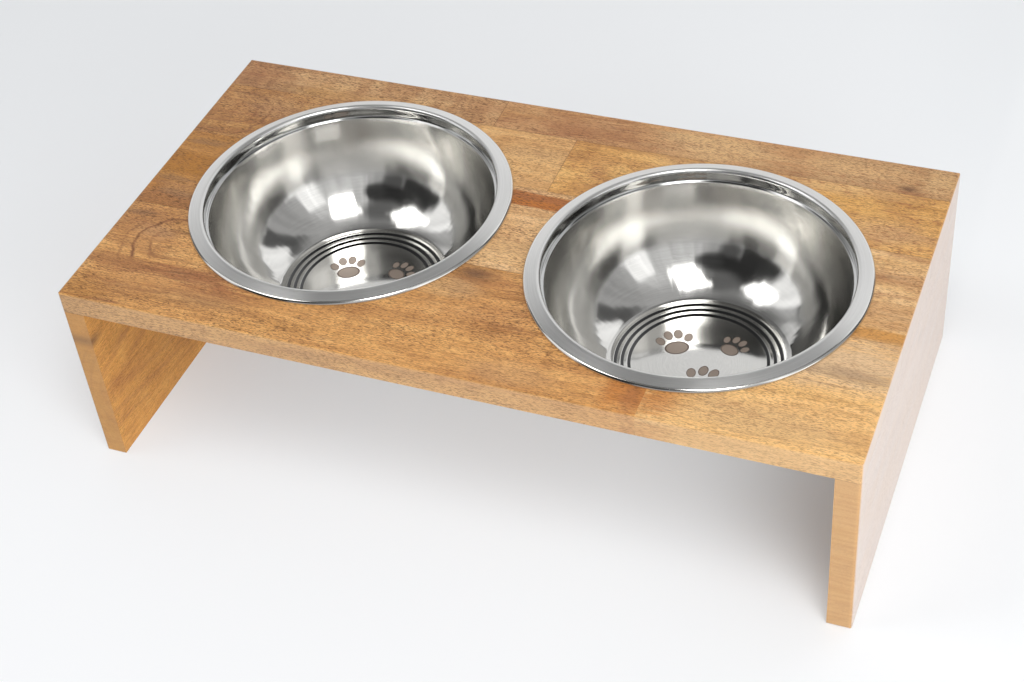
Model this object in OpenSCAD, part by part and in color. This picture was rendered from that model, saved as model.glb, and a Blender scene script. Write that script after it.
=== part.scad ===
// Raised feeding stand for a dog: a glued board top on two side boards,
// with two steel bowls hung in round holes.
// Millimetres, +Z up, X along the length, Y from front to back,
// origin on the floor below the middle of the top.

/* [Stand] */
// Length of the top, over both side boards
stand_w = 600; // [580:5:760]
// Depth of the top, front to back
stand_d = 315; // [300:5:400]
// Height from the floor to the upper face of the top
stand_h = 165; // [130:5:320]
// Thickness of the top and of the side boards
board_t = 18; // [15:1:25]
// Radius of the sanded edge round the top
edge_round = 2; // [1:0.5:4]
// Radius of the upright corners of the stand
corner_round = 3; // [2:0.5:6]
// Radius of the eased edges at the foot of each side board
foot_round = 1.5; // [1:0.5:4]

/* [Top boards] */
// Seam between the rear row and the middle row, from the centre line
rear_seam_y = 52.5; // [40:0.5:65]
// Seam between the middle row and the front row, from the centre line
front_seam_y = -43; // [-60:0.5:-30]
// Butt joint in the back row, from the middle of the length
back_joint_x = -63; // [-95:1:-30]
// Butt joint in the rear row, from the middle of the length
rear_joint_x = 8; // [-8:1:22]
// Butt joint in the front row, from the middle of the length
front_joint_x = 147; // [60:1:200]
// Depth by which the left hole cuts into the back row
back_bite = 3.5; // [2:0.5:5]

/* [Bowls] */
// Diameter across the outside of a bowl's rim
rim_d = 251; // [240:1:258]
// Share of the top's spare length that lies left of the left hole
left_end_share = 0.363; // [0.32:0.001:0.38]
// Share of the top's spare length that lies between the holes
bridge_share = 0.342; // [0.28:0.001:0.4]
// Distance of the left bowl behind the centre line, and of the right bowl in front of it
pair_skew = 5.6; // [4.5:0.1:8]
// Depth of a bowl's floor below the upper face of the top
bowl_depth = 88.6; // [80:0.2:100]
// Thickness of the bowl's sheet
sheet_t = 0.8; // [0.6:0.1:1.2]
// Radius of the bend from the wall to the floor
bend_r = 72; // [64:1:76]
// Room between a bowl's throat and the edge of its hole
hole_room = 4.9; // [3:0.1:5.5]

/* [Dowels] */
// Diameter of the hidden dowels
dowel_d = 8; // [6:1:10]
// Length of a dowel inside its side board
dowel_leg_len = 22; // [15:1:32]
// Wood left between a dowel's end and the upper face of the top
dowel_cover = 6; // [4:0.5:8]

/* [Hidden] */
$fn = 144;

// Colours of the pieces
wood_pale = "burlywood";
wood_mid = "peru";
wood_dark = "sienna";
dowel_colour = "wheat";
steel_colour = "silver";

// Outline of the stand
half_w = stand_w / 2;
half_d = stand_d / 2;
under_z = stand_h - board_t;
reach = 20;

// Rim section: crest bend, sloping band and turned-down lip
rim_r = rim_d / 2;
rim_bend_r = 2.8;
band_w = 7.5;
band_normal = [0.28, 0.96];
lip_c = [rim_r - rim_bend_r, 0];
crest_c = lip_c + band_w * [-band_normal[1], band_normal[0]];
throat_r = crest_c[0] - rim_bend_r;

// Wall and floor of a bowl, measured from the upper face of the top
ledge_w = 2.2;
ledge_depth = 5;
bend_sweep = 65.5;
step_drop = 0.7;
step_run = 2.4;
tread_w = 2.7;
step_count = 3;
outer_tread_w = 4.8;
wall_r = throat_r - ledge_w;
tread_z = step_count * step_drop - bowl_depth;
bend_z = tread_z + bend_r * sin(bend_sweep);
bend_c = wall_r - bend_r;
floor_r = bend_c + bend_r * cos(bend_sweep);
step_r = floor_r - outer_tread_w;

// Holes in the top
hole_r = throat_r + sheet_t + hole_room;
spare_w = stand_w - 4 * hole_r;
left_x = left_end_share * spare_w + hole_r - half_w;
right_x = left_x + 2 * hole_r + bridge_share * spare_w;
left_y = pair_skew;
right_y = -pair_skew;
back_seam_y = left_y + hole_r - back_bite;

// Dowels, one in each row of the top over each side board
dowel_gap = 0.1;
dowel_chamfer = 0.8;
dowel_top_len = board_t - dowel_cover;
dowel_x = half_w - board_t / 2;
dowel_ys = [
  (half_d + back_seam_y) / 2,
  (back_seam_y + rear_seam_y) / 2,
  (rear_seam_y + front_seam_y) / 2,
  (front_seam_y - half_d) / 2
];

// Rectangle w by h standing on the X axis, with its two upper corners rounded
module round_top_2d(w, h, r) {
  translate([-w / 2, 0]) square([w, h - r]);
  translate([r - w / 2, 0]) square([w - 2 * r, h]);
  for (side = [-1, 1]) translate([side * (w / 2 - r), h - r]) circle(r);
}

// Plan of the stand with its upright corners rounded
module plan_2d() {
  square([stand_w - 2 * corner_round, stand_d], center = true);
  square([stand_w, stand_d - 2 * corner_round], center = true);
  for (sx = [-1, 1])
    for (sy = [-1, 1])
      translate([sx * (half_w - corner_round), sy * (half_d - corner_round)]) circle(corner_round);
}

// Profile seen from the front, run from front to back
module along_y(len) {
  translate([0, len / 2, 0]) rotate([90, 0, 0]) linear_extrude(len) children();
}

// Profile seen from the side, run along the length
module along_x(len) {
  translate([-len / 2, 0, 0]) rotate([90, 0, 90]) linear_extrude(len) children();
}

// Whole top before it is parted into boards
module top_blank() {
  intersection() {
    translate([0, 0, under_z]) linear_extrude(board_t) plan_2d();
    translate([0, 0, under_z]) along_y(stand_d) round_top_2d(stand_w, board_t, edge_round);
    translate([0, 0, under_z]) along_x(stand_w) round_top_2d(stand_d, board_t, edge_round);
  }
}

module bowl_hole(x, y) {
  translate([x, y, under_z - reach]) cylinder(r = hole_r, h = board_t + 2 * reach);
}

module dowel_bores() {
  for (side = [-1, 1])
    for (y = dowel_ys)
      translate([side * dowel_x, y, under_z - dowel_leg_len])
        cylinder(d = dowel_d + 2 * dowel_gap, h = dowel_leg_len + dowel_top_len);
}

// One board of the top, cut from the blank between two ends and two seams
module stave(x0, x1, y0, y1) {
  difference() {
    intersection() {
      top_blank();
      translate([x0, y0, under_z - reach]) cube([x1 - x0, y1 - y0, board_t + 2 * reach]);
    }
    bowl_hole(left_x, left_y);
    bowl_hole(right_x, right_y);
    dowel_bores();
  }
}

module back_stave_left() {
  color(wood_mid) stave(-half_w, back_joint_x, back_seam_y, half_d);
}

module back_stave_right() {
  color(wood_dark) stave(back_joint_x, half_w, back_seam_y, half_d);
}

module rear_stave_left() {
  color(wood_mid) stave(-half_w, left_x, rear_seam_y, back_seam_y);
}

module rear_stave_middle() {
  color(wood_pale) stave(left_x, rear_joint_x, rear_seam_y, back_seam_y);
}

module rear_stave_right() {
  color(wood_mid) stave(rear_joint_x, half_w, rear_seam_y, back_seam_y);
}

module middle_stave_left() {
  color(wood_dark) stave(-half_w, left_x, front_seam_y, rear_seam_y);
}

module middle_stave_bridge() {
  color(wood_pale) stave(left_x, right_x, front_seam_y, rear_seam_y);
}

module middle_stave_right() {
  color(wood_dark) stave(right_x, half_w, front_seam_y, rear_seam_y);
}

module front_stave_left() {
  color(wood_mid) stave(-half_w, front_joint_x, -half_d, front_seam_y);
}

module front_stave_right() {
  color(wood_pale) stave(front_joint_x, half_w, -half_d, front_seam_y);
}

// Side board, flush with the end of the top and glued under it
module side_board(side) {
  difference() {
    intersection() {
      linear_extrude(under_z) plan_2d();
      translate([side * dowel_x, 0, under_z])
        mirror([0, 0, 1]) along_y(stand_d) round_top_2d(board_t, under_z, foot_round);
      translate([0, 0, under_z])
        mirror([0, 0, 1]) along_x(stand_w) round_top_2d(stand_d, under_z, foot_round);
    }
    dowel_bores();
  }
}

module left_leg() {
  color(wood_mid) side_board(-1);
}

module right_leg() {
  color(wood_mid) side_board(1);
}

// Round wooden dowel with eased ends
module dowel() {
  full = dowel_leg_len + dowel_top_len;
  r = dowel_d / 2;
  rotate_extrude()
    polygon([
      [0, 0], [r - dowel_chamfer, 0], [r, dowel_chamfer],
      [r, full - dowel_chamfer], [r - dowel_chamfer, full], [0, full]
    ]);
}

module dowel_row(side) {
  for (y = dowel_ys) translate([side * dowel_x, y, under_z - dowel_leg_len]) dowel();
}

module left_leg_dowels() {
  color(dowel_colour) dowel_row(-1);
}

module right_leg_dowels() {
  color(dowel_colour) dowel_row(1);
}

// Steps of the floor, from the axis outwards
function floor_steps() = [
  for (i = [step_count : -1 : 1])
    for (end = [1, 0])
      [
        step_r - (i - 1) * (step_run + tread_w) - end * step_run,
        tread_z - (i - 1 + end) * step_drop
      ]
];

// Half section of the space inside the bowl's sheet, or with grow inside its outer face
module bowl_space_2d(grow, top_z) {
  lap = 5;
  axis_side = [[0, tread_z + lap], [0, -bowl_depth]];
  translate([0, -ledge_depth - grow]) square([throat_r + grow, top_z + ledge_depth + grow]);
  translate([0, bend_z]) square([wall_r + grow, -bend_z - ledge_depth / 2]);
  intersection() {
    translate([bend_c, bend_z]) circle(bend_r + grow);
    translate([0, tread_z - grow]) square([rim_r, bend_z - tread_z + grow + lap]);
  }
  translate([0, tread_z - grow]) square([bend_c, bend_z - tread_z + grow + lap]);
  translate([0, -grow]) polygon(concat(axis_side, floor_steps(), [[step_r, tread_z + lap]]));
}

// Sector of the sheet round one bend of the rim, between two directions
module rim_bend_2d(from, to) {
  far = 3 * rim_bend_r;
  intersection() {
    difference() {
      circle(rim_bend_r);
      circle(rim_bend_r - sheet_t);
    }
    polygon([[0, 0], far * from, far * (from + to), far * to]);
  }
}

// Half section of the rim: crest bend, sloping band and lip that rests on the top
module rim_2d() {
  translate(crest_c) rim_bend_2d([-1, 0], band_normal);
  polygon([
    crest_c + (rim_bend_r - sheet_t) * band_normal, lip_c + (rim_bend_r - sheet_t) * band_normal,
    lip_c + rim_bend_r * band_normal, crest_c + rim_bend_r * band_normal
  ]);
  translate(lip_c) rim_bend_2d(band_normal, [1, 0]);
}

module bowl(x, y) {
  translate([x, y, stand_h])
    rotate_extrude() {
      difference() {
        bowl_space_2d(sheet_t, crest_c[1]);
        bowl_space_2d(0, reach);
      }
      rim_2d();
    }
}

module left_bowl() {
  color(steel_colour) bowl(left_x, left_y);
}

module right_bowl() {
  color(steel_colour) bowl(right_x, right_y);
}

back_stave_left();
back_stave_right();
rear_stave_left();
rear_stave_middle();
rear_stave_right();
middle_stave_left();
middle_stave_bridge();
middle_stave_right();
front_stave_left();
front_stave_right();
left_leg();
right_leg();
left_leg_dowels();
right_leg_dowels();
left_bowl();
right_bowl();
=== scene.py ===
import math

import bpy
from mathutils import Matrix, Vector


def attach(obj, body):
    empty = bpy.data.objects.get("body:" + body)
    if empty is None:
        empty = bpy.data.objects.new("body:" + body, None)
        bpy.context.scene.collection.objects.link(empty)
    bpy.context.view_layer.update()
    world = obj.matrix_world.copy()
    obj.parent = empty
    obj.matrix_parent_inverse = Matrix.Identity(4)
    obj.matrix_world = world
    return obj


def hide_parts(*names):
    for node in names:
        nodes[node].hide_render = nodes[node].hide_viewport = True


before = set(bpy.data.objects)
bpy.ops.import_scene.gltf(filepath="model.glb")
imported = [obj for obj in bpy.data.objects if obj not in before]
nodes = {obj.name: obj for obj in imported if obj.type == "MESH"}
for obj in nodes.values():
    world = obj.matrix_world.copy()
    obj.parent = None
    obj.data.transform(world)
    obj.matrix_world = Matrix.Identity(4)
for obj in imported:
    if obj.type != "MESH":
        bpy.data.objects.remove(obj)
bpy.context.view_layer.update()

MM = 0.001

# Camera of the photograph, in the frame of the part
IMAGE_W = 1024
FOCAL_PX = 1825.3
SENSOR_W = 36.0
CAM_AZIMUTH = math.radians(25.203)
CAM_ELEVATION = math.radians(42.292)
CAM_ROLL = math.radians(-6.019)
CAM_PLACE = Vector((0.44163, -0.95901, 1.01684))

# Stand and bowls, as in the part's source
STAND_H = 165.0
BOARD_T = 18.0
HALF_W = 300.0
LEFT_BOWL = (-135.72, 5.6)
RIGHT_BOWL = (144.31, -5.6)
BACK_SEAM = 120.5
REAR_SEAM = 52.5
FRONT_SEAM = -43.0
BACK_JOINT = -63.0
REAR_JOINT = 8.0
LEG_TOP = STAND_H - BOARD_T

# Middle of a noise, whose values run from 0 to 1
NOISE_MIDDLE = 0.5

# Sockets of a Mix node for colours: its share, its two colours and its result
MIX_SHARE = 0
MIX_A = 6
MIX_B = 7
MIX_RESULT = 2


class Graph:
    """A node tree, with short ways to add nodes to it."""

    def __init__(self, tree):
        self.tree = tree

    def put(self, socket, value):
        if isinstance(value, bpy.types.NodeSocket):
            self.tree.links.new(value, socket)
        elif isinstance(value, (tuple, list)) and socket.type == "RGBA" and len(value) == 3:
            socket.default_value = (*value, 1.0)
        else:
            socket.default_value = value

    def math(self, operation, a, b=None):
        node = self.tree.nodes.new("ShaderNodeMath")
        node.operation = operation
        self.put(node.inputs[0], a)
        if b is not None:
            self.put(node.inputs[1], b)
        return node.outputs[0]

    def add(self, a, b):
        return self.math("ADD", a, b)

    def sub(self, a, b):
        return self.math("SUBTRACT", a, b)

    def mul(self, a, b):
        return self.math("MULTIPLY", a, b)

    def swing(self, noise, amount):
        """Noise about its middle, times an amount."""
        return self.mul(self.sub(noise, NOISE_MIDDLE), amount)

    def fade(self, value, start, end):
        """Smooth step from 0 at start to 1 at end."""
        node = self.tree.nodes.new("ShaderNodeMapRange")
        node.interpolation_type = "SMOOTHSTEP"
        self.put(node.inputs["Value"], value)
        low, high = min(start, end), max(start, end)
        node.inputs["From Min"].default_value = low
        node.inputs["From Max"].default_value = high
        node.inputs["To Min"].default_value = 0.0 if start < end else 1.0
        node.inputs["To Max"].default_value = 1.0 if start < end else 0.0
        return node.outputs["Result"]

    def length(self, a, b):
        return self.math("SQRT", self.add(self.mul(a, a), self.mul(b, b)))

    def place(self):
        node = self.tree.nodes.new("ShaderNodeTexCoord")
        return self.split(node.outputs["Object"])

    def split(self, vector):
        node = self.tree.nodes.new("ShaderNodeSeparateXYZ")
        self.put(node.inputs[0], vector)
        return node.outputs[0], node.outputs[1], node.outputs[2]

    def join(self, x, y, z):
        node = self.tree.nodes.new("ShaderNodeCombineXYZ")
        for socket, value in zip(node.inputs, (x, y, z)):
            self.put(socket, value)
        return node.outputs[0]

    def noise(self, parts, scales, detail=2.0, roughness=0.5, channels=False):
        """Noise on three coordinates, each with a scale of its own, per metre."""
        node = self.tree.nodes.new("ShaderNodeTexNoise")
        vector = self.join(*(self.mul(p, s) for p, s in zip(parts, scales)))
        self.put(node.inputs["Vector"], vector)
        node.inputs["Scale"].default_value = 1.0
        node.inputs["Detail"].default_value = detail
        node.inputs["Roughness"].default_value = roughness
        return self.split(node.outputs["Color"]) if channels else node.outputs["Fac"]

    def ramp(self, value, stops):
        node = self.tree.nodes.new("ShaderNodeValToRGB")
        ramp = node.color_ramp
        while len(ramp.elements) < len(stops):
            ramp.elements.new(stops[-1][0])
        for element, (position, colour) in zip(ramp.elements, stops):
            element.position = position
            element.color = (*colour, 1.0)
        self.put(node.inputs[0], value)
        return node.outputs["Color"]

    def mix(self, share, a, b, blend="MIX"):
        node = self.tree.nodes.new("ShaderNodeMix")
        node.data_type = "RGBA"
        node.blend_type = blend
        self.put(node.inputs[MIX_SHARE], share)
        self.put(node.inputs[MIX_A], a)
        self.put(node.inputs[MIX_B], b)
        return node.outputs[MIX_RESULT]


class Surface(Graph):
    """One node material with a Principled shader."""

    def __init__(self, name):
        self.material = bpy.data.materials.new(name)
        self.material.use_nodes = True
        super().__init__(self.material.node_tree)
        self.tree.nodes.clear()
        out = self.tree.nodes.new("ShaderNodeOutputMaterial")
        self.shader = self.tree.nodes.new("ShaderNodeBsdfPrincipled")
        self.tree.links.new(self.shader.outputs["BSDF"], out.inputs["Surface"])

    def surface(self, **values):
        for name, value in values.items():
            self.put(self.shader.inputs[name.replace("_", " ")], value)

    def bump(self, height, strength, distance):
        node = self.tree.nodes.new("ShaderNodeBump")
        node.inputs["Strength"].default_value = strength
        node.inputs["Distance"].default_value = distance
        self.put(node.inputs["Height"], height)
        self.put(self.shader.inputs["Normal"], node.outputs["Normal"])


# Shades of the oiled wood
PORE = (0.115, 0.046, 0.017)
SMUDGE = (0.17, 0.10, 0.062)
KNOT = (0.11, 0.05, 0.025)
SEAM = (0.13, 0.065, 0.03)
ORANGE = (0.46, 0.15, 0.022)
RED_BROWN = (0.33, 0.12, 0.042)
ARCH_LINE = (0.23, 0.085, 0.03)
TAWNY = (0.40, 0.175, 0.058)
AMBER_BAND = (0.41, 0.17, 0.022)
MARIGOLD = (0.55, 0.25, 0.05)
PALE_GREY = (0.63, 0.445, 0.275)
YELLOW = (0.62, 0.33, 0.07)
HONEY = (0.47, 0.215, 0.045)
STRAW = (0.72, 0.47, 0.22)
EDGE = (0.61, 0.41, 0.235)
LEG_END = (0.62, 0.39, 0.20)
LEG_END_LEFT = (0.51, 0.29, 0.125)
TAN = (0.60, 0.365, 0.175)
# Pale colour of the painted glare on the right end face
GLARE_PALE = (0.71, 0.635, 0.595)

# Noises in the wood: scales per metre along the grain, across it and through the board, detail, roughness
NOISES = {
    "sway": ((3.0, 11.0, 11.0), 2.0, 0.5),
    "shiver": ((22.0, 70.0, 70.0), 2.0, 0.5),
    "broad": ((3.0, 36.0, 36.0), 3.0, 0.6),
    "cloud": ((17.0, 62.0, 62.0), 3.0, 0.6),
    "fibre": ((26.0, 560.0, 560.0), 3.0, 0.65),
    "fleck": ((190.0, 720.0, 720.0), 2.0, 0.6),
    "curl": ((70.0, 16.0, 16.0), 2.0, 0.5),
    "hue": ((7.0, 34.0, 34.0), 2.0, 0.5),
    "patchy": ((6.0, 26.0, 26.0), 2.0, 0.5),
    "smear": ((20.0, 120.0, 120.0), 4.0, 0.65),
    "wisp": ((24.0, 105.0, 105.0), 3.0, 0.55),
    "saw_X": ((8.0, 60.0, 420.0), 2.0, 0.5),
    "saw_Y": ((8.0, 420.0, 30.0), 2.0, 0.5),
    "zone": ((9.0, 40.0, 40.0), 2.0, 0.5),
    "long_pore": ((230.0, 1700.0, 1700.0), 1.0, 0.5),
    "short_pore": ((400.0, 2400.0, 2400.0), 0.0, 0.5),
}

# How far a board's seed moves its noises along the grain, across it and through the board
SEED_STEPS = (1.7, 0.61, 0.83)

# Reach of the slow and the quick wander of the grain, in metres
SWAY_REACH = 0.018
SHIVER_REACH = 0.0026

# Knot: how much it is drawn out along the grain, its reach in radii, and its dark heart
KNOT_STRETCH = 0.45
KNOT_REACH = 2.6
HEART_POWER = 1.6
HEART_LEVEL = (0.35, 0.9)
HEART_MOST = 0.9

# Growth rings: how much they waver, the wave of a ring, the sharpness of its late wood, where it shows
RING_WAVER = 5.0
RING_WAVE = 0.5
LATE_POWER = 5.0
LATE_FADE = (0.42, 0.62)

# Weight of each noise in the tone, the stops of its colours, and the fades of the golden and the reddish hues
TONE_MIDDLE = 0.5
BROAD_SWING = 1.15
CLOUD_SWING = 0.85
FIBRE_SWING = 1.0
FLECK_SWING = 0.3
CURL_SWING = 4.0
TONE_STOPS = (0.05, 0.5, 0.95)
GOLD_FADE = (0.50, 0.72)
BLUSH_FADE = (0.48, 0.28)

# Streaks: ragged sides, full part of the half width, soft ends in millimetres, level and its swing
STREAK_RAGGED = 0.5
STREAK_CORE = 0.45
STREAK_END = 14.0
STREAK_LEVEL = (0.55, 0.9)

# Spots: ragged sides and fade, in half sizes
SPOT_RAGGED = 1.1
SPOT_FADE = (1.1, 0.3)

# Lines of an arch in the figure: reach, from 0 in its middle to 1 at its outer line, and strength
ARCH_LINES = ((1.0, 1.0), (0.56, 0.6), (1.32, 0.45))
ARCH_LINE_W = 0.075
ARCH_WAVER = 0.45
ARCH_TAIL = 2.4
ARCH_BREAK_FADE = (0.38, 0.56)
ARCH_BREAK_LEVEL = (0.35, 0.65)

# Smudges and fine veins
SMEAR_FADE = (0.55, 0.74)
SMEAR_SHARE = 0.85
VEIN_W = 0.022
VEIN_FADE = (0.44, 0.60)

# Faces: how square to an axis they are, the pale long edge, saw marks on end grain, worn arrises
FACE_FADE = (0.55, 0.9)
LONG_EDGE_SHARE = 0.5
SAW_FADE = (0.35, 0.7)
SAW_SHARE = 0.22
ARRIS_FADE = (0.985, 0.86)
WORN_SHARE = 0.12

# Painted glare on the right end face, a pale colour that stands for the sheen of the strong side light: how
# square to +X it is, its depth in millimetres, its share and the loss by clouds
OUTSIDE_FADE = (0.6, 0.9)
GLARE_DEPTH = (6.0, 3.0)
GLARE_SHARE = 0.98
GLARE_CLOUD = 0.3

# Open pores: how dense they are, their fades, and their loss on end grain, long edges and the right end face
# with painted glare
DENSE_FADE = (0.34, 0.62)
DENSE_LEVEL = (0.65, 0.35)
LONG_PORE_FADE = (0.585, 0.63)
SHORT_PORE_FADE = (0.60, 0.65)
SHORT_PORE_SHARE = 0.9
END_PORE_LOSS = 0.8
EDGE_PORE_LOSS = 0.3
GLARE_PORE_LOSS = 0.75

# Glue lines: half width in millimetres, full part of it, level and its swing
SEAM_CUT = 0.45
SEAM_CORE = 0.1
SEAM_LEVEL = (0.15, 0.9)

# Gloss and relief of the thin oil on the wood
OIL_IOR = 1.4
WOOD_ROUGH = 0.36
PORE_ROUGH = 0.2
FIBRE_ROUGH = 0.16
END_ROUGH = 0.12
FIBRE_RELIEF = 0.5
PORE_RELIEF = 0.8
RELIEF_STRENGTH = 0.35
RELIEF_DEPTH = 0.25


def wood(name, tones, seed, along="X", pith=(90.0, -60.0), lean=(0.02, 0.05), ring=9.0, late=0.3, smudge=0.2,
         pores=0.85, ripple=0.12, veins=0.3, figure=1.0, gold=0.3, blush=0.25, end_shade=RED_BROWN,
         end_share=0.3, glared=False, streaks=(), spots=(), arches=(), knots=(), seams=(), joints=()):
    """Board whose grain runs along X or Y. Lengths are in millimetres, in the frame of the part.

    pith is the middle of the trunk across the board, lean is how far it drifts along it, ring is the width of
    a growth ring. A streak is (place across, half width, colour, strength, start along, end along), a spot is
    (place along, place across, half length, half width, colour, strength), an arch is (place of its nose
    along, place across, length, half width, side on which it opens, strength), a knot is (place along, place
    across, radius), seams are places across the board and joints are places along it.
    """
    g = Surface(name)
    x, y, z = g.place()
    u, v, w = (x, y, z) if along == "X" else (y, z, x)
    away = [g.add(part, seed * step) for part, step in zip((u, v, w), SEED_STEPS)]

    # Wander of the grain, and the way it parts round a knot
    sway = g.noise(away, *NOISES["sway"], channels=True)
    shiver = g.noise(away, *NOISES["shiver"], channels=True)

    def bent(part, i):
        slow = g.swing(sway[i], SWAY_REACH)
        quick = g.swing(shiver[i], SHIVER_REACH)
        return g.add(part, g.add(slow, quick))

    v1 = bent(v, 0)
    w1 = bent(w, 1)
    swirl = None
    for ku, kv, kr in knots:
        du = g.sub(u, ku * MM)
        dv = g.sub(v, kv * MM)
        reach = g.length(g.mul(du, KNOT_STRETCH), dv)
        near = g.fade(reach, KNOT_REACH * kr * MM, 0.0)
        swirl = near if swirl is None else g.math("MAXIMUM", swirl, near)
        push = g.mul(g.math("SIGN", dv), g.mul(near, kr * MM))
        v1 = g.sub(v1, push)

    # Bands, clouds and fibres, from wide to fine
    flow = (away[0], g.add(v1, seed * SEED_STEPS[1]), g.add(w1, seed * SEED_STEPS[2]))
    broad = g.noise(flow, *NOISES["broad"])
    cloud = g.noise(flow, *NOISES["cloud"])
    fibre = g.noise(flow, *NOISES["fibre"])
    fleck = g.noise(flow, *NOISES["fleck"])
    curl = g.noise(flow, *NOISES["curl"])
    hue = g.noise(away, *NOISES["hue"])

    # Growth rings
    across = g.add(g.sub(v1, pith[0] * MM), g.mul(u, lean[0]))
    deep = g.add(g.sub(w1, pith[1] * MM), g.mul(u, lean[1]))
    rings = g.mul(g.length(across, deep), 2.0 * math.pi / (ring * MM))
    phase = g.add(rings, g.mul(broad, RING_WAVER))
    wave = g.math("MULTIPLY_ADD", g.math("SINE", phase), RING_WAVE)
    wave.node.inputs[2].default_value = RING_WAVE
    patchy = g.noise(away, *NOISES["patchy"])
    line = g.mul(g.math("POWER", wave, LATE_POWER), g.fade(patchy, *LATE_FADE))

    tone = g.add(TONE_MIDDLE, g.swing(broad, BROAD_SWING * figure))
    tone = g.add(tone, g.swing(cloud, CLOUD_SWING * figure))
    tone = g.add(tone, g.swing(fibre, FIBRE_SWING))
    tone = g.add(tone, g.swing(fleck, FLECK_SWING))
    tone = g.add(tone, g.swing(curl, ripple * CURL_SWING))
    colour = g.ramp(tone, list(zip(TONE_STOPS, tones)))
    colour = g.mix(g.mul(g.fade(hue, *GOLD_FADE), gold), colour, YELLOW)
    colour = g.mix(g.mul(g.fade(hue, *BLUSH_FADE), blush), colour, RED_BROWN)
    colour = g.mix(g.mul(line, late), colour, RED_BROWN)

    # Streaks, spots and arches
    least, gain = STREAK_LEVEL
    for sv, half, shade, strength, start, end in streaks:
        offset = g.math("ABSOLUTE", g.sub(v1, sv * MM))
        ragged = g.add(offset, g.swing(fibre, STREAK_RAGGED * half * MM))
        share = g.fade(ragged, half * MM, STREAK_CORE * half * MM)
        share = g.mul(share, g.fade(u, (start - STREAK_END) * MM, start * MM))
        share = g.mul(share, g.fade(u, (end + STREAK_END) * MM, end * MM))
        share = g.mul(share, g.add(strength * least, g.mul(broad, strength * gain)))
        colour = g.mix(g.math("MINIMUM", share, 1.0), colour, shade)

    for su, sv, half_u, half_v, shade, strength in spots:
        far_u = g.mul(g.sub(u, su * MM), 1.0 / (half_u * MM))
        far_v = g.mul(g.sub(v1, sv * MM), 1.0 / (half_v * MM))
        reach = g.length(far_u, far_v)
        uneven = g.sub(g.add(cloud, fibre), 2.0 * NOISE_MIDDLE)
        ragged = g.add(reach, g.mul(uneven, SPOT_RAGGED))
        colour = g.mix(g.mul(g.fade(ragged, *SPOT_FADE), strength), colour, shade)

    least, gain = ARCH_BREAK_LEVEL
    for au, av, long, half, side, strength in arches:
        ahead = g.math("MAXIMUM", g.mul(g.sub(au * MM, u), side / (long * MM)), 0.0)
        reach = g.length(ahead, g.mul(g.sub(v1, av * MM), 1.0 / (half * MM)))
        uneven = g.sub(g.add(cloud, broad), 2.0 * NOISE_MIDDLE)
        wavy = g.add(reach, g.mul(uneven, ARCH_WAVER))
        ridge = None
        for place, share in ARCH_LINES:
            offset = g.math("ABSOLUTE", g.sub(wavy, place))
            drawn = g.mul(g.fade(offset, ARCH_LINE_W, 0.0), share)
            ridge = drawn if ridge is None else g.math("MAXIMUM", ridge, drawn)
        tail = g.fade(g.mul(u, side), (side * au + ARCH_TAIL * long) * MM, side * au * MM)
        broken = g.add(least, g.mul(g.fade(cloud, *ARCH_BREAK_FADE), gain))
        share = g.mul(g.mul(ridge, tail), g.mul(broken, strength))
        colour = g.mix(share, colour, ARCH_LINE)

    # Smudges, veins and the hearts of knots
    smear = g.noise(flow, *NOISES["smear"])
    colour = g.mix(g.mul(g.fade(smear, *SMEAR_FADE), SMEAR_SHARE * smudge), colour, SMUDGE)
    wisp = g.noise(flow, *NOISES["wisp"])
    aside = g.math("ABSOLUTE", g.sub(wisp, NOISE_MIDDLE))
    vein = g.mul(g.fade(aside, VEIN_W, 0.0), g.fade(patchy, *VEIN_FADE))
    colour = g.mix(g.mul(vein, veins), colour, RED_BROWN)
    if swirl is not None:
        least, gain = HEART_LEVEL
        heart = g.mul(g.math("POWER", swirl, HEART_POWER), g.add(least, g.mul(fibre, gain)))
        colour = g.mix(g.math("MINIMUM", heart, HEART_MOST), colour, KNOT)

    # Faces: pale long edges, end grain, painted glare on the right end face, worn arrises
    normal = g.split(g.tree.nodes.new("ShaderNodeNewGeometry").outputs["Normal"])
    faces = [g.math("ABSOLUTE", part) for part in normal]
    if along == "X":
        long_edge = g.fade(faces[1], *FACE_FADE)
        end_grain = g.fade(faces[0], *FACE_FADE)
        colour = g.mix(g.mul(long_edge, LONG_EDGE_SHARE), colour, EDGE)
    else:
        end_grain = g.fade(faces[1], *FACE_FADE)
    saw = g.noise((0.0, v, w), *NOISES[f"saw_{along}"])
    end_tone = g.mix(g.mul(g.fade(saw, *SAW_FADE), SAW_SHARE), end_shade, RED_BROWN)
    colour = g.mix(g.mul(end_grain, end_share), colour, end_tone)
    # Painted glare: the right end face, which faces the side light, is painted pale
    if glared:
        inner, outer = ((HALF_W - depth) * MM for depth in GLARE_DEPTH)
        outside = g.mul(g.fade(normal[0], *OUTSIDE_FADE), g.fade(x, inner, outer))
        share = g.mul(outside, g.sub(GLARE_SHARE, g.mul(cloud, GLARE_CLOUD)))
        colour = g.mix(share, colour, GLARE_PALE)
    flattest = g.math("MAXIMUM", faces[0], g.math("MAXIMUM", faces[1], faces[2]))
    worn = g.fade(flattest, *ARRIS_FADE)
    colour = g.mix(g.mul(worn, WORN_SHARE), colour, YELLOW)

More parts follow.
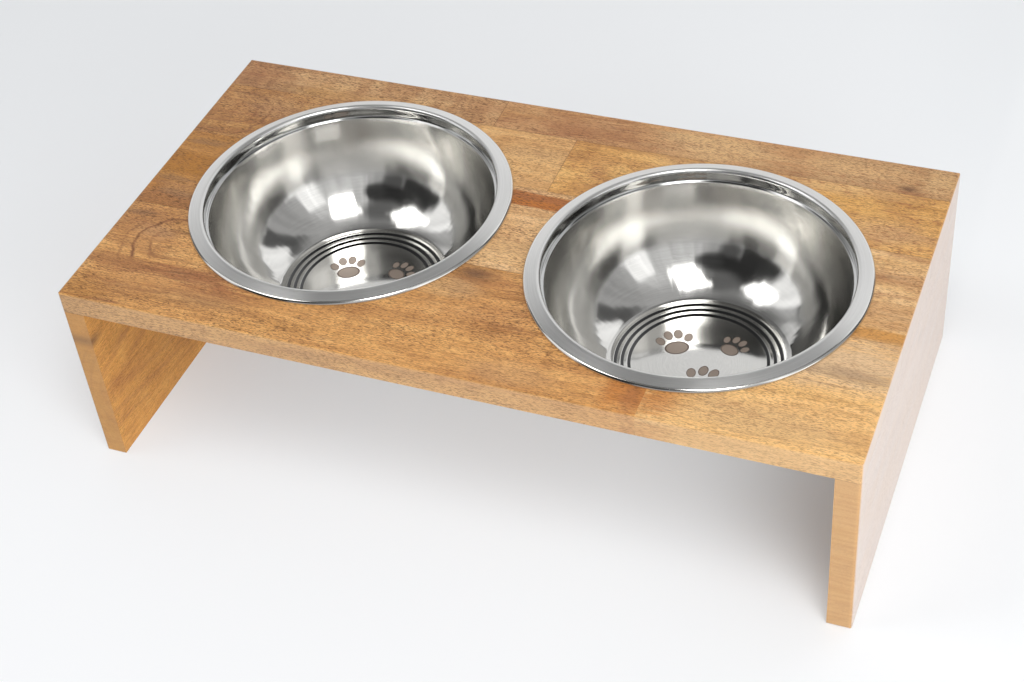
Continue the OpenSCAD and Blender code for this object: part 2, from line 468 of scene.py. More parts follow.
    # Open pores, drawn out along the grain
    zone = g.noise(away, *NOISES["zone"])
    least, gain = DENSE_LEVEL
    dense = g.add(least, g.mul(g.fade(zone, *DENSE_FADE), gain))
    long_pore = g.noise(flow, *NOISES["long_pore"])
    short_pore = g.noise(flow, *NOISES["short_pore"])
    long_share = g.fade(long_pore, *LONG_PORE_FADE)
    short_share = g.mul(g.fade(short_pore, *SHORT_PORE_FADE), SHORT_PORE_SHARE)
    pore = g.math("MAXIMUM", long_share, short_share)
    pore = g.mul(pore, dense)
    pore = g.mul(pore, g.sub(1.0, g.mul(end_grain, END_PORE_LOSS)))
    if along == "X":
        pore = g.mul(pore, g.sub(1.0, g.mul(long_edge, EDGE_PORE_LOSS)))
    if glared:
        pore = g.mul(pore, g.sub(1.0, g.mul(outside, GLARE_PORE_LOSS)))
    colour = g.mix(g.mul(pore, pores), colour, PORE)

    # Glue lines
    cut = SEAM_CUT * MM
    least, gain = SEAM_LEVEL
    for part, places in ((v, seams), (u, joints)):
        for place in places:
            offset = g.math("ABSOLUTE", g.sub(part, place * MM))
            share = g.mul(g.fade(offset, cut, SEAM_CORE * cut), g.add(least, g.mul(broad, gain)))
            colour = g.mix(share, colour, SEAM)

    rough = g.add(WOOD_ROUGH, g.mul(pore, PORE_ROUGH))
    rough = g.add(rough, g.swing(fibre, FIBRE_ROUGH))
    rough = g.add(rough, g.mul(end_grain, END_ROUGH))
    height = g.sub(g.mul(fibre, FIBRE_RELIEF), g.mul(pore, PORE_RELIEF))
    g.bump(height, RELIEF_STRENGTH, RELIEF_DEPTH * MM)
    g.surface(Base_Color=colour, Roughness=rough, IOR=OIL_IOR)
    return g.material


def tinted(tones, tint):
    return tuple(tuple(c * t for c, t in zip(tone, tint)) for tone in tones)


# Tones of the boards, dark to light
GOLDEN = ((0.32, 0.135, 0.036), (0.60, 0.315, 0.105), (0.76, 0.455, 0.175))
PALE = ((0.44, 0.23, 0.085), (0.69, 0.42, 0.185), (0.82, 0.555, 0.285))
BROWN = ((0.28, 0.138, 0.055), (0.52, 0.285, 0.122), (0.67, 0.425, 0.205))
RUSSET = ((0.26, 0.11, 0.034), (0.46, 0.215, 0.066), (0.62, 0.34, 0.125))
AMBER = ((0.38, 0.165, 0.036), (0.64, 0.335, 0.095), (0.77, 0.465, 0.165))

# Boards at the right end carry painted glare on their right end face
BOARDS = {
    "back_stave_left": dict(
        tones=tinted(BROWN, (0.97, 0.93, 0.88)), seed=3.1, pith=(190, 20), lean=(0.02, 0.06), ring=10,
        ripple=0.32, smudge=0.35, seams=(BACK_SEAM,), joints=(BACK_JOINT,),
        spots=((-295, 138, 45, 24, RED_BROWN, 0.35),),
    ),
    "back_stave_right": dict(
        tones=tinted(BROWN, (1.02, 0.96, 0.9)), seed=7.4, pith=(150, 90), lean=(-0.03, 0.10), ring=8,
        late=0.4, smudge=0.3, pores=0.7, veins=0.6, seams=(BACK_SEAM,), joints=(BACK_JOINT,), glared=True,
        knots=((267, 127, 2.5),),
        spots=((5, 138, 75, 22, RED_BROWN, 0.5), (118, 138, 66, 26, STRAW, 0.65),
               (225, 138, 62, 24, STRAW, 0.55), (290, 138, 18, 24, STRAW, 0.6)),
    ),
    "rear_stave_left": dict(
        tones=RUSSET, seed=5.2, pith=(60, 130), lean=(-0.10, 0.06), ring=11, ripple=0.25, smudge=0.3,
        seams=(REAR_SEAM, BACK_SEAM), arches=((-272, 84, 24, 28, -1, 0.7),),
        spots=((-246, 96, 30, 18, TAN, 0.3),),
    ),
    "rear_stave_middle": dict(
        tones=tinted(PALE, (0.95, 0.865, 0.72)), seed=1.7, pith=(330, 60), lean=(0.01, 0.02), ring=5,
        late=0.25, smudge=0.1, pores=0.65, seams=(REAR_SEAM, BACK_SEAM), joints=(REAR_JOINT,),
        spots=((-20, 94, 40, 12, STRAW, 0.35),),
    ),
    "rear_stave_right": dict(
        tones=tinted(AMBER, (1.08, 1.1, 1.15)), seed=9.3, pith=(95, 20), lean=(0.05, 0.12), ring=9,
        late=0.35, pores=0.65, gold=0.4, veins=0.7, seams=(REAR_SEAM, BACK_SEAM), joints=(REAR_JOINT,),
        glared=True,
        spots=((250, 100, 60, 22, YELLOW, 0.25), (262, 74, 44, 18, TAN, 0.6),
               (98, 112, 46, 14, STRAW, 0.3), (215, 117, 62, 11, STRAW, 0.5)),
    ),
    "middle_stave_left": dict(
        tones=tinted(RUSSET, (0.96, 0.86, 0.6)), seed=12.5, pith=(-20, 60), lean=(0.10, 0.05), ring=9,
        smudge=0.5, seams=(REAR_SEAM, FRONT_SEAM),
        streaks=((12, 18, AMBER_BAND, 0.9, -320, -180), (40, 14, HONEY, 0.8, -320, -180),
                 (-34, 12, TAWNY, 0.7, -320, -180)),
        spots=((-284, -8, 22, 5, SMUDGE, 0.4), (-268, -26, 26, 6, SMUDGE, 0.3),
               (-268, -18, 26, 12, TAN, 0.25)),
    ),
    "middle_stave_bridge": dict(
        tones=tinted(PALE, (1.05, 1.03, 1.04)), seed=2.6, pith=(-240, 100), lean=(0.02, 0.04), ring=6,
        late=0.25, veins=0.5, seams=(REAR_SEAM, FRONT_SEAM),
        streaks=((42, 11, ORANGE, 1.6, -80, 80), (46, 5, RED_BROWN, 0.5, -80, 80)),
        spots=((-8, -24, 44, 20, STRAW, 0.4),),
    ),
    "middle_stave_right": dict(
        tones=tinted(PALE, (1.05, 1.05, 1.05)), seed=15.8, pith=(40, 100), lean=(0.05, 0.06), ring=7,
        late=0.4, smudge=0.4, pores=0.65, veins=0.45, seams=(REAR_SEAM, FRONT_SEAM), glared=True,
        streaks=((-37, 7, MARIGOLD, 0.85, 200, 320), (24, 9, RED_BROWN, 0.3, 230, 320),
                 (-16, 18, TAWNY, 0.35, 200, 320)),
    ),
    "front_stave_left": dict(
        tones=tinted(GOLDEN, (1.11, 1.07, 1.02)), seed=4.4, pith=(-84, 128), lean=(0.03, 0.09), ring=10,
        late=0.35, smudge=0.3, pores=0.85, gold=0.15, blush=0.35, seams=(FRONT_SEAM,),
        knots=((-9, -52, 5),), arches=((-246, -84, 29, 28, 1, 1.0), (34, -84, 14, 20, -1, 0.6)),
        streaks=((-120, 46, ORANGE, 0.7, 126, 160), (-154.6, 1.1, RED_BROWN, 0.9, -300, -256)),
        spots=((-282, -64, 60, 22, TAWNY, 0.7), (-262, -92, 50, 12, TAWNY, 0.6),
               (-272, -113, 46, 13, TAWNY, 0.75), (-258, -137, 38, 12, TAWNY, 0.55),
               (-262, -72, 26, 10, TAN, 0.35), (-294, -148, 34, 16, HONEY, 0.6),
               (-200, -112, 58, 15, RED_BROWN, 0.85), (-195, -136, 50, 12, SMUDGE, 0.3),
               (-288, -56, 16, 4, SMUDGE, 0.4), (14, -56, 30, 9, RED_BROWN, 0.3),
               (-24, -69, 36, 13, STRAW, 0.45), (52, -140, 42, 16, TAN, 0.35),
               (140, -138, 9, 30, RED_BROWN, 0.5), (-222, -125, 85, 15, RED_BROWN, 0.35)),
    ),
    "front_stave_right": dict(
        tones=tinted(PALE, (1.17, 1.14, 1.0)), seed=8.9, pith=(-110, 140), lean=(-0.05, 0.09), ring=9,
        late=0.2, smudge=0.2, pores=0.6, gold=0.5, blush=0.1, seams=(FRONT_SEAM,), glared=True,
        arches=((270, -120, 90, 30, -1, 0.3),),
        spots=((250, -70, 130, 30, PALE_GREY, 0.75), (272, -80, 50, 7, SMUDGE, 0.4),
               (158, -136, 24, 28, ORANGE, 0.7), (225, -138, 80, 20, STRAW, 0.6)),
    ),
    "left_leg": dict(
        tones=tinted(AMBER, (1.02, 0.90, 0.67)), seed=6.6, along="Y", pith=(60, -240), lean=(0.04, 0.10),
        ring=8, figure=0.5, smudge=0.1, pores=0.4, end_shade=LEG_END_LEFT, end_share=0.55, seams=(LEG_TOP,),
        knots=((-157, 120, 4),),
    ),
    "right_leg": dict(
        tones=GOLDEN, seed=11.2, along="Y", pith=(90, 250), lean=(0.03, 0.06), ring=8, figure=0.6,
        end_shade=LEG_END, end_share=0.75, seams=(LEG_TOP,), knots=((30, 112, 3),), glared=True,
    ),
    "left_leg_dowels": dict(tones=PALE, seed=13.3, along="Y", pith=(0, 0), lean=(0, 0), ring=3, late=0.2),
    "right_leg_dowels": dict(tones=PALE, seed=14.1, along="Y", pith=(0, 0), lean=(0, 0), ring=3, late=0.2),
}

for node_name, options in BOARDS.items():
    slots = nodes[node_name].data.materials
    slots.clear()
    slots.append(wood(f"wood_{node_name}", **options))


# Section of a bowl in millimetres from the upper face of the top, as in the part's source
RIM_R = 125.5
SHEET = 0.8
RIM_BEND = 2.8
BAND_W = 7.5
BAND_NORMAL = Vector((0.28, 0.96))
LIP_C = Vector((RIM_R - RIM_BEND, 0.0))
CREST_C = LIP_C + BAND_W * Vector((-BAND_NORMAL.y, BAND_NORMAL.x))
THROAT_R = CREST_C.x - RIM_BEND
LEDGE_W = 2.2
LEDGE_DEPTH = 5.0
WALL_R = THROAT_R - LEDGE_W
BOWL_DEPTH = 88.6
BEND_R = 72.0
BEND_SWEEP = 65.5
STEP_DROP = 0.7
STEP_RUN = 2.4
TREAD_W = 2.7
STEP_COUNT = 3
OUTER_TREAD = 4.8
TREAD_Z = STEP_COUNT * STEP_DROP - BOWL_DEPTH
BEND_Z = TREAD_Z + BEND_R * math.sin(math.radians(BEND_SWEEP))
BEND_C = Vector((WALL_R - BEND_R, BEND_Z))
FLOOR_R = BEND_C.x + BEND_R * math.cos(math.radians(BEND_SWEEP))
STEP_R = FLOOR_R - OUTER_TREAD
BAND_ANGLE = math.degrees(math.atan2(BAND_NORMAL.y, BAND_NORMAL.x))

# Place on the crest of the rim, in degrees, where the brushed finish of the band ends
BRUSHED_FROM = 146.0

# Kinds of surface along the section
FLOOR, GROOVE, WALL, LEDGE, BAND, LIP, OUTSIDE = range(7)

# Points on each arc of the section
BEND_COUNT = 48
CREST_COUNT = 5
BAND_COUNT = 9
LIP_COUNT = 12
HEM_COUNT = 8
OUTER_BEND_COUNT = 32

# Eased corners, in millimetres, the points on each, and the most of a side that one takes
FLOOR_EASE = 0.5
THROAT_EASE = 0.55
OUTSIDE_EASE = 0.7
EASE_COUNT = 4
EASE_MOST = 0.45

# Longest stretches of the section, in millimetres
FLOOR_STRETCH = 6.0
THROAT_STRETCH = 4.0
BAND_STRETCH = 1.5

# Points round a bowl, and the angle in degrees from which an edge is sharp
BOWL_TURNS = 256
SHARP_FROM = 35.0


def arc(centre, radius, start, end, count, kind):
    points = []
    for i in range(count + 1):
        angle = math.radians(start + (end - start) * i / count)
        points.append((centre.x + radius * math.cos(angle), centre.y + radius * math.sin(angle), kind))
    return points


def eased(points, radius):
    """Rounds every inner corner of an open line of (r, z, kind) points."""
    line = [points[0]]
    for before, here, after in zip(points, points[1:], points[2:]):
        p = Vector(here[:2])
        a = Vector(before[:2]) - p
        b = Vector(after[:2]) - p
        back = min(radius, a.length * EASE_MOST)
        ahead = min(radius, b.length * EASE_MOST)
        p0 = p + a.normalized() * back
        p1 = p + b.normalized() * ahead
        for i in range(EASE_COUNT + 1):
            t = i / EASE_COUNT
            q = (1 - t) ** 2 * p0 + 2 * t * (1 - t) * p + t ** 2 * p1
            line.append((q.x, q.y, here[2] if 2 * i < EASE_COUNT else after[2]))
    line.append(points[-1])
    return line


def floor_line(lower, kind):
    """Floor from the axis to the start of the bend, with its rings of steps."""
    line = [(0.0, -BOWL_DEPTH - lower, kind)]
    for i in range(STEP_COUNT - 1, -1, -1):
        outer = STEP_R - i * (STEP_RUN + TREAD_W)
        line.append((outer - STEP_RUN, TREAD_Z - (i + 1) * STEP_DROP - lower, kind))
        line.append((outer, TREAD_Z - i * STEP_DROP - lower, GROOVE if kind == FLOOR else kind))
    line.append((FLOOR_R, TREAD_Z - lower, kind))
    return line


def spread(points, stretch):
    """Adds points so that no part of the line is longer than stretch."""
    line = [points[0]]
    for a, b in zip(points, points[1:]):
        count = max(1, math.ceil(math.hypot(b[0] - a[0], b[1] - a[1]) / stretch))
        for i in range(1, count + 1):
            t = i / count
            line.append((a[0] + (b[0] - a[0]) * t, a[1] + (b[1] - a[1]) * t, b[2]))
    return line


def bowl_section():
    """Line of (r, z, kind) points from the axis, up the inside, over the rim and down the outside."""
    inner_floor = eased(floor_line(0.0, FLOOR), FLOOR_EASE)
    inner_bend = arc(BEND_C, BEND_R, -BEND_SWEEP, 0.0, BEND_COUNT, WALL)
    throat = [
        (WALL_R, BEND_Z, WALL), (WALL_R, -LEDGE_DEPTH, WALL),
        (THROAT_R, -LEDGE_DEPTH, LEDGE), (THROAT_R, CREST_C.y, LEDGE),
    ]
    crest = arc(CREST_C, RIM_BEND, 180.0, BRUSHED_FROM, CREST_COUNT, LEDGE)
    crest += arc(CREST_C, RIM_BEND, BRUSHED_FROM, BAND_ANGLE, BAND_COUNT, BAND)[1:]
    lip = arc(LIP_C, RIM_BEND, BAND_ANGLE, 0.0, LIP_COUNT, LIP)
    lip[0] = (lip[0][0], lip[0][1], BAND)
    hem = arc(LIP_C, RIM_BEND - SHEET, 0.0, BAND_ANGLE, HEM_COUNT, OUTSIDE)
    hem += arc(CREST_C, RIM_BEND - SHEET, BAND_ANGLE, 180.0, HEM_COUNT, OUTSIDE)
    under_throat = [
        (THROAT_R + SHEET, CREST_C.y, OUTSIDE), (THROAT_R + SHEET, -LEDGE_DEPTH - SHEET, OUTSIDE),
        (WALL_R + SHEET, -LEDGE_DEPTH - SHEET, OUTSIDE), (WALL_R + SHEET, BEND_Z, OUTSIDE),
    ]
    outer_bend = arc(BEND_C, BEND_R + SHEET, 0.0, -BEND_SWEEP, OUTER_BEND_COUNT, OUTSIDE)
    outer_floor = list(reversed(eased(floor_line(SHEET, OUTSIDE), FLOOR_EASE)))
    line = spread(inner_floor, FLOOR_STRETCH) + inner_bend[1:]
    line += spread(eased(throat, THROAT_EASE), THROAT_STRETCH)[1:] + crest[1:]
    line += spread([crest[-1], lip[0]], BAND_STRETCH)[1:] + lip[1:]
    line += hem + eased(under_throat, OUTSIDE_EASE)[1:] + outer_bend[1:] + outer_floor[1:]
    return line


def bowl_mesh():
    section = bowl_section()
    inner = section[1:-1]
    corners = []
    for r, z, _ in inner:
        for k in range(BOWL_TURNS):
            angle = 2.0 * math.pi * k / BOWL_TURNS
            corners.append((r * MM * math.cos(angle), r * MM * math.sin(angle), z * MM))
    faces = []
    kinds = []
    for i in range(len(inner) - 1):
        for k in range(BOWL_TURNS):
            n = (k + 1) % BOWL_TURNS
            row, up = i * BOWL_TURNS, (i + 1) * BOWL_TURNS
            faces.append((row + k, row + n, up + n, up + k))
            kinds.append(inner[i + 1][2])
    for end, ring, kind in ((section[0], 0, FLOOR), (section[-1], len(inner) - 1, OUTSIDE)):
        tip = len(corners)
        corners.append((0.0, 0.0, end[1] * MM))
        for k in range(BOWL_TURNS):
            n = (k + 1) % BOWL_TURNS
            a, b = ring * BOWL_TURNS + k, ring * BOWL_TURNS + n
            faces.append((tip, b, a) if ring else (tip, a, b))
            kinds.append(kind)
    mesh = bpy.data.meshes.new("bowl")
    mesh.from_pydata(corners, [], faces)
    mesh.polygons.foreach_set("material_index", kinds)
    mesh.polygons.foreach_set("use_smooth", [True] * len(faces))
    mesh.set_sharp_from_angle(angle=math.radians(SHARP_FROM))
    mesh.update()
    return mesh


# Shades of the steel
STEEL = (0.72, 0.71, 0.68)
STEEL_BRUSHED = (0.74, 0.735, 0.715)
STEEL_DULL = (0.55, 0.54, 0.52)
# Near black for the ring steps of the floor: painted dark reflection and shade in the grooves
STEEL_GROOVE_PAINTED_DARK = (0.10, 0.10, 0.10)
STEEL_THROAT = (0.58, 0.58, 0.57)

# Quarter of a turn, from along the turning marks to across them
QUARTER = 0.25

# Height in millimetres below which the wall is polished brighter, and the stretch over which that ends
BULB_Z = -60.0
BULB_FADE = 18.0

# Turning marks round the axis, haze of handling and shallow dents: scales, detail and roughness of the noise
MARKS_ROUND = 3.0
MARKS_NOISE = (3.0, 0.7)
MARKS_FADE = (0.35, 0.65)
MARKS_SHADE = 0.93
HAZE_NOISE = ((26.0, 26.0, 26.0), 3.0, 0.6)
DENTS_NOISE = ((6.0, 6.0, 7.0), 1.5, 0.4)

# Least roughness of the steel, and least distance from the axis, in metres
LEAST_ROUGH = 0.03
LEAST_R = 1e-5

# Print on the floor of a bowl: shades, share, roughness, loss of metal, fades of its edge and of its line
PRINT = (0.27, 0.195, 0.145)
PRINT_LINE = (0.10, 0.065, 0.048)
PRINT_SHARE = 0.85
PRINT_ROUGH = 0.3
PRINT_METAL_LOSS = 0.7
PRINT_EDGE_FADE = (1.02, 0.98)
PRINT_LINE_FADE = (0.84, 0.90)

# A paw of one pad and four toes: place, half sizes and turn of each oval in millimetres and degrees
PAW = (
    (0.0, -3.5, 7.4, 5.6, 0.0),
    (-8.6, 4.0, 2.6, 3.7, 22.0),
    (-3.1, 8.2, 2.7, 4.0, 6.0),
    (3.1, 8.2, 2.7, 4.0, -6.0),
    (8.6, 4.0, 2.6, 3.7, -22.0),
)

# Paws on the floor of a bowl: place, size and turn
PAWS = ((-22.0, 14.0, 1.25, 28.0), (20.0, 22.0, 1.0, -24.0), (9.0, -20.0, 1.35, -8.0))


def printed(g, x, y, paws):
    """Shares of the printed ovals and of the dark line round them."""
    inside = rim = None
    for px, py, size, turn in paws:
        c, s = math.cos(math.radians(turn)), math.sin(math.radians(turn))
        for ox, oy, half_x, half_y, tilt in PAW:
            centre_x = px + size * (c * ox - s * oy)
            centre_y = py + size * (s * ox + c * oy)
            a = math.radians(turn + tilt)
            dx = g.sub(x, centre_x * MM)
            dy = g.sub(y, centre_y * MM)
            along = g.add(g.mul(dx, math.cos(a)), g.mul(dy, math.sin(a)))
            aside = g.sub(g.mul(dy, math.cos(a)), g.mul(dx, math.sin(a)))
            far_x = g.mul(along, 1.0 / (size * half_x * MM))
            far_y = g.mul(aside, 1.0 / (size * half_y * MM))
            reach = g.length(far_x, far_y)
            fill = g.fade(reach, *PRINT_EDGE_FADE)
            edge = g.mul(fill, g.fade(reach, *PRINT_LINE_FADE))
            inside = fill if inside is None else g.math("MAXIMUM", inside, fill)
            rim = edge if rim is None else g.math("MAXIMUM", rim, edge)
    return inside, rim


def steel(name, colour, rough, marks, mark_depth, haze, wobble=0.0, drawn=0.0, rise=0.0, prints=()):
    """Spun steel with fine turning marks round the axis and a light haze of handling.

    marks is the scale of the turning marks, wobble is the depth of shallow dents, drawn is how far the
    turning marks pull a reflection out across them, rise is how much duller the wall is at its top, and
    prints are the paws on the floor.
    """
    g = Surface(name)
    x, y, z = g.place()
    r = g.math("MAXIMUM", g.length(x, y), LEAST_R)
    cx = g.math("DIVIDE", x, r)
    cy = g.math("DIVIDE", y, r)
    fine = g.noise((g.add(r, z), cx, cy), (marks, MARKS_ROUND, MARKS_ROUND), *MARKS_NOISE)
    cloud = g.noise((x, y, z), *HAZE_NOISE)
    level = g.add(rough, g.swing(cloud, haze))
    level = g.add(level, g.swing(fine, haze))
    if rise:
        level = g.add(level, g.mul(g.fade(z, BULB_Z * MM, (BULB_Z + BULB_FADE) * MM), rise))
    shade = g.mix(g.fade(fine, *MARKS_FADE), tuple(c * MARKS_SHADE for c in colour), colour)
    height = g.mul(fine, mark_depth)
    if wobble:
        dents = g.noise((cx, cy, z), *DENTS_NOISE)
        height = g.add(height, g.mul(dents, wobble))
    if prints:
        inside, rim = printed(g, x, y, prints)
        shade = g.mix(g.mul(inside, PRINT_SHARE), shade, PRINT)
        shade = g.mix(g.mul(rim, PRINT_SHARE), shade, PRINT_LINE)
        level = g.add(level, g.mul(inside, PRINT_ROUGH))
        g.surface(Metallic=g.sub(1.0, g.mul(inside, PRINT_METAL_LOSS)))
    else:
        g.surface(Metallic=1.0)
    if drawn:
        round_axis = g.tree.nodes.new("ShaderNodeTangent")
        round_axis.direction_type = "RADIAL"
        round_axis.axis = "Z"
        g.surface(Anisotropic=drawn, Anisotropic_Rotation=QUARTER, Tangent=round_axis.outputs["Tangent"])
    g.bump(height, 1.0, MM)
    g.surface(Base_Color=shade, Roughness=g.math("MAXIMUM", level, LEAST_ROUGH))
    return g.material


# One steel for each kind of surface along the section, in the order of the kinds
bowl_steel = [
    steel("steel_floor", STEEL, rough=0.07, marks=1500.0, mark_depth=0.0016, haze=0.05, prints=PAWS),
    # Ring steps of the floor: painted dark reflection and shade
    steel("steel_groove_painted_dark", STEEL_GROOVE_PAINTED_DARK, rough=0.16, marks=1500.0, mark_depth=0.0016, haze=0.05),
    steel("steel_wall", STEEL, rough=0.08, marks=1100.0, mark_depth=0.0012, haze=0.04, wobble=0.36, drawn=1.0,
          rise=0.1),
    steel("steel_ledge", STEEL_THROAT, rough=0.06, marks=1500.0, mark_depth=0.0012, haze=0.04),
    steel("steel_band", STEEL_BRUSHED, rough=0.31, marks=2400.0, mark_depth=0.006, haze=0.08, drawn=0.5),
    steel("steel_lip", STEEL, rough=0.12, marks=1500.0, mark_depth=0.0024, haze=0.06),
    steel("steel_outside", STEEL_DULL, rough=0.30, marks=1300.0, mark_depth=0.008, haze=0.10),
]

shared_bowl = bowl_mesh()
for material in bowl_steel:
    shared_bowl.materials.append(material)

for piece_name, node_name, body, centre in (
    ("left_bowl_spun", "left_bowl", "bowl_left", LEFT_BOWL),
    ("right_bowl_spun", "right_bowl", "bowl_right", RIGHT_BOWL),
):
    bowl = bpy.data.objects.new(piece_name, shared_bowl)
    bpy.context.scene.collection.objects.link(bowl)
    bowl.location = (centre[0] * MM, centre[1] * MM, STAND_H * MM)
    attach(bowl, body)
    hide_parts(node_name)


# Floor of the set, with half its side in metres
FLOOR_SIZE = 10.0
FLOOR_CORNERS = ((-1, -1), (1, -1), (1, 1), (-1, 1))
FLOOR_COLOUR = (0.83, 0.85, 0.865)
FLOOR_ROUGH = 0.6
FLOOR_NOISE = ((3.0, 3.0, 3.0), 3.0, 0.5)
FLOOR_FADE = (0.3, 0.7)
FLOOR_SHADE = 0.985
BACKDROP = (0.98, 0.985, 1.0)

# Share of plain white in what the camera sees of the floor, at the back and at the front. The rise of this
# glow towards the front is painted light, which also lightens the shade under the stand
PAINTED_GLOW_SHARE = (0.3, 0.7)

# Places in metres where that painted light changes: from back to front, sooner on the right
SHARE_FADE = (0.05, -0.3)
RIGHT_FROM = 0.1
RIGHT_SLOPE = 0.5

# Deeper shadow beside the right leg: its two sides, its front and its loss of white
LEG_SHADOW_LEFT = (0.15, 0.27)
LEG_SHADOW_RIGHT = (0.31, 0.29)
LEG_SHADOW_FRONT = (-0.22, -0.1)
LEG_SHADOW_LOSS = 0.4


def floor_material():
    g = Surface("floor_paper")
    x, y, z = g.place()
    cloud = g.noise((x, y, z), *FLOOR_NOISE)
    shade = g.mix(g.fade(cloud, *FLOOR_FADE), tuple(c * FLOOR_SHADE for c in FLOOR_COLOUR), FLOOR_COLOUR)
    g.surface(Base_Color=shade, Roughness=FLOOR_ROUGH)
    path = g.tree.nodes.new("ShaderNodeLightPath").outputs
    mirrored = g.math("MAXIMUM", path["Is Glossy Ray"], path["Is Transmission Ray"])
    seen = g.math("MAXIMUM", path["Is Camera Ray"], mirrored)
    white = g.tree.nodes.new("ShaderNodeEmission")
    white.inputs["Color"].default_value = (*BACKDROP, 1.0)
    white.inputs["Strength"].default_value = 1.0
    blend = g.tree.nodes.new("ShaderNodeMixShader")
    # Painted light: the white glow grows towards the front and the right, and is cut beside the right leg as
    # painted shadow
    far_share, near_share = PAINTED_GLOW_SHARE
    beside = g.math("MAXIMUM", g.sub(x, RIGHT_FROM), 0.0)
    near = g.fade(g.add(y, g.mul(beside, RIGHT_SLOPE)), *SHARE_FADE)
    share = g.add(far_share, g.mul(near, near_share - far_share))
    by_leg = g.mul(g.fade(x, *LEG_SHADOW_LEFT), g.fade(x, *LEG_SHADOW_RIGHT))
    by_leg = g.mul(by_leg, g.fade(y, *LEG_SHADOW_FRONT))
    share = g.mul(share, g.sub(1.0, g.mul(by_leg, LEG_SHADOW_LOSS)))
    g.put(blend.inputs[0], g.mul(seen, share))
    g.put(blend.inputs[1], g.shader.outputs["BSDF"])
    g.put(blend.inputs[2], white.outputs["Emission"])
    g.put(g.tree.nodes["Material Output"].inputs["Surface"], blend.outputs["Shader"])
    return g.material


floor_mesh = bpy.data.meshes.new("floor")
floor_corners = [(sx * FLOOR_SIZE, sy * FLOOR_SIZE, 0.0) for sx, sy in FLOOR_CORNERS]
floor_mesh.from_pydata(floor_corners, [], [(0, 1, 2, 3)])
floor_mesh.materials.append(floor_material())
floor = bpy.data.objects.new("floor", floor_mesh)
bpy.context.scene.collection.objects.link(floor)


# Studio light: the point that the lamps face, the soft edge of a lamp and the gain that makes up for it
MIDDLE = Vector((0.0, 0.0, 0.1))
LAMP_EDGE = 0.5
LAMP_GAIN = 1.78

# Softboxes: azimuth, elevation, distance, width, height, radiance and whether the steel mirrors them
SOFTBOXES = {
    "key_high": (-52.0, 61.0, 1.8, 0.7, 1.1, 4.7, True),
    "key_low": (-48.0, 21.0, 1.8, 1.4, 1.0, 3.2, False),
    "fill_left": (-152.0, 56.0, 1.8, 0.8, 0.8, 2.3, True),
    "low_back_right": (50.0, 17.0, 1.8, 1.8, 0.8, 1.1, False),
}


def towards(azimuth, elevation):
    """Direction from its azimuth, counted from +X to +Y, and its elevation, in degrees."""
    a, e = math.radians(azimuth), math.radians(elevation)
    return Vector((math.cos(a) * math.cos(e), math.sin(a) * math.cos(e), math.sin(e)))


def softbox(name, place, target, size, power, mirrored):
    """Rectangular lamp, brightest in its middle, and whether the steel mirrors it."""
    lamp = bpy.data.lights.new(name, "AREA")
    lamp.shape = "RECTANGLE"
    lamp.size, lamp.size_y = size
    lamp.energy = power
    lamp.use_nodes = True
    g = Graph(lamp.node_tree)
    spot = g.split(lamp.node_tree.nodes.new("ShaderNodeNewGeometry").outputs["Parametric"])
    glow = None
    for part in spot[:2]:
        inward = g.sub(1.0, g.math("ABSOLUTE", g.sub(g.mul(part, 2.0), 1.0)))
        edge = g.fade(inward, 0.0, LAMP_EDGE)
        glow = edge if glow is None else g.mul(glow, edge)
    g.put(lamp.node_tree.nodes["Emission"].inputs["Strength"], g.mul(glow, LAMP_GAIN))
    holder = bpy.data.objects.new(name, lamp)
    holder.location = place
    aim = Vector(target) - Vector(place)
    holder.rotation_euler = aim.to_track_quat("-Z", "Y").to_euler()
    holder.visible_glossy = mirrored
    bpy.context.scene.collection.objects.link(holder)


for lamp_name, (turn, rise, away, wide, tall, radiance, mirrored) in SOFTBOXES.items():
    lamp_place = MIDDLE + away * towards(turn, rise)
    softbox(lamp_name, lamp_place, MIDDLE, (wide, tall), radiance * math.pi * wide * tall, mirrored)

# Studio round the set: radiance and tint of the room, and the soft edge of a panel in degrees
ROOM = 0.55
COOL = (1.0, 1.005, 1.02)
PANEL_EDGE = 5.0

# Tall panels: azimuth, half width, lowest and highest elevation in degrees, radiance
PANELS = (
    (115.0, 50.0, -20.0, 50.0, 0.85),
    (108.0, 42.0, -20.0, 22.0, 1.15),
    (174.0, 9.0, 0.0, 28.0, 0.18),
    (-162.0, 11.0, 8.0, 72.0, 1.3),
    (-127.0, 15.0, -5.0, 74.0, 0.04),
    (-45.0, 30.0, 22.0, 82.0, 0.80),
    (-22.0, 7.0, 15.0, 44.0, 1.5),
    (-14.0, 14.0, -5.0, 16.0, 1.8),
    (16.0, 14.0, 0.0, 80.0, 0.45),
    (44.0, 15.0, -5.0, 80.0, 0.14),
    (60.0, 14.0, 24.0, 48.0, 1.25),
)

# Round patches: azimuth, elevation, inner and outer radius in degrees, radiance
PATCHES = (
    (0.0, 90.0, 14.0, 36.0, 0.48),
    (107.0, 40.0, 12.0, 22.0, 0.95),
    (142.0, 68.0, 14.0, 34.0, 0.16),
    (-98.0, 42.0, 10.0, 18.0, 0.03),
    (-84.0, 41.0, 5.0, 12.0, 0.05),
    (-100.0, 24.0, 4.0, 12.0, 0.10),
    (-104.0, 64.0, 5.0, 18.0, 0.15),
)

# Unevenness of the panels: depth, scales and detail of its noise, and the stops between which it fades
MOTTLE = 0.25
MOTTLE_NOISE = ((9.0, 9.0, 0.6), 2.0)
MOTTLE_STOPS = (0.3, 0.7)

# Least part of a sky direction that lies level
LEAST_LEVEL = 1e-4


def grey(level):
    return tuple(level * c for c in COOL)


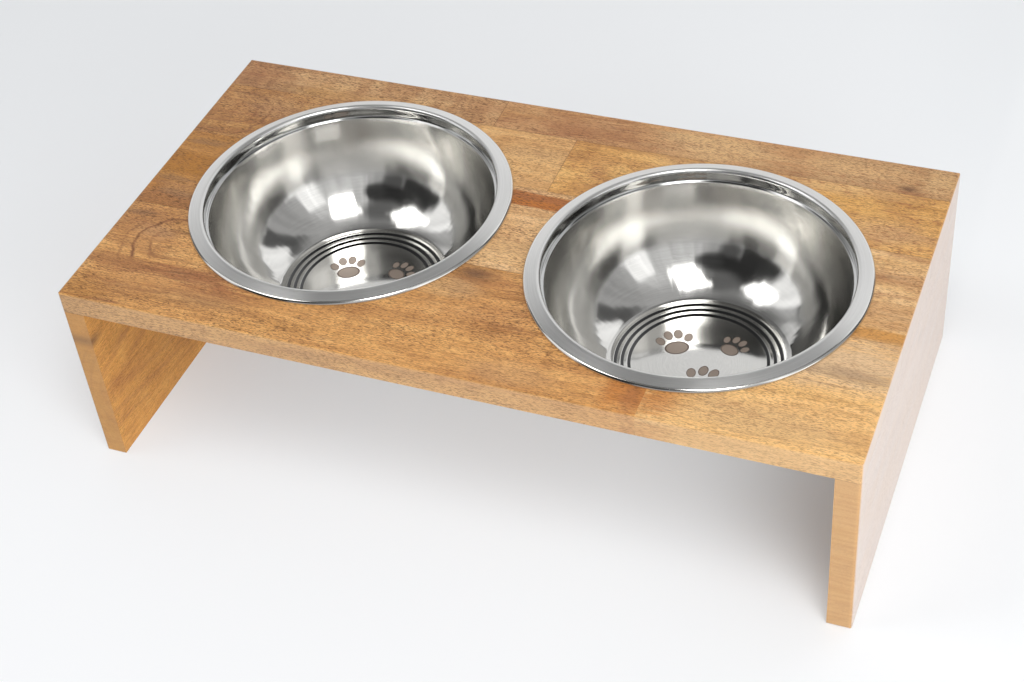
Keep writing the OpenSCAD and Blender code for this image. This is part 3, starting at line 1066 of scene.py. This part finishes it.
world = bpy.data.worlds.new("studio")
bpy.context.scene.world = world
world.use_nodes = True
sky = Graph(world.node_tree)
direction = world.node_tree.nodes.new("ShaderNodeTexCoord").outputs["Generated"]


def facing(azimuth, elevation):
    """Cosine of the angle between the sky's direction and a given one."""
    dot = world.node_tree.nodes.new("ShaderNodeVectorMath")
    dot.operation = "DOT_PRODUCT"
    sky.put(dot.inputs[0], direction)
    dot.inputs[1].default_value = towards(azimuth, elevation)
    return dot.outputs["Value"]


def patch(under, azimuth, elevation, inner, outer, level):
    """Round patch with a soft edge."""
    ahead = facing(azimuth, elevation)
    share = sky.fade(ahead, math.cos(math.radians(outer)), math.cos(math.radians(inner)))
    return sky.mix(share, under, grey(level))


def panel(under, azimuth, half, low, high, level):
    """Tall panel with soft sides, seen between two elevations."""
    a = math.radians(azimuth)
    ahead = sky.add(sky.mul(flat_x, math.cos(a)), sky.mul(flat_y, math.sin(a)))
    share = sky.fade(ahead, math.cos(math.radians(half + PANEL_EDGE)), math.cos(math.radians(half)))
    for limit, side in ((low, 1.0), (high, -1.0)):
        outer = math.sin(math.radians(limit - side * PANEL_EDGE))
        share = sky.mul(share, sky.fade(sky_z, outer, math.sin(math.radians(limit))))
    return sky.mix(share, under, grey(level))


sky_x, sky_y, sky_z = sky.split(direction)
level_part = sky.math("MAXIMUM", sky.length(sky_x, sky_y), LEAST_LEVEL)
flat_x = sky.math("DIVIDE", sky_x, level_part)
flat_y = sky.math("DIVIDE", sky_y, level_part)
sky_colour = grey(ROOM)
for values in PANELS:
    sky_colour = panel(sky_colour, *values)
mottled = sky.noise((flat_x, flat_y, sky_z), *MOTTLE_NOISE)
shading = sky.ramp(mottled, list(zip(MOTTLE_STOPS, ((1.0 - MOTTLE,) * 3, (1.0,) * 3))))
sky_colour = sky.mix(1.0, sky_colour, shading, blend="MULTIPLY")
for values in PATCHES:
    sky_colour = patch(sky_colour, *values)
background = world.node_tree.nodes["Background"]
sky.put(background.inputs["Color"], sky_colour)
background.inputs["Strength"].default_value = 1.0

# Camera at the place from which the photograph was taken
back = Vector((
    math.sin(CAM_AZIMUTH) * math.cos(CAM_ELEVATION),
    -math.cos(CAM_AZIMUTH) * math.cos(CAM_ELEVATION),
    math.sin(CAM_ELEVATION),
))
right = (-back).cross(Vector((0.0, 0.0, 1.0))).normalized()
up = right.cross(-back)
across = math.cos(CAM_ROLL) * right + math.sin(CAM_ROLL) * up
upward = -math.sin(CAM_ROLL) * right + math.cos(CAM_ROLL) * up
view = Matrix((across, upward, back)).transposed().to_4x4()
view.translation = CAM_PLACE
lens = bpy.data.cameras.new("photo_camera")
lens.sensor_fit = "HORIZONTAL"
lens.sensor_width = SENSOR_W
lens.lens = FOCAL_PX / IMAGE_W * SENSOR_W
camera = bpy.data.objects.new("photo_camera", lens)
camera.matrix_world = view
bpy.context.scene.collection.objects.link(camera)
bpy.context.scene.camera = camera
bpy.context.scene.view_settings.view_transform = "Standard"
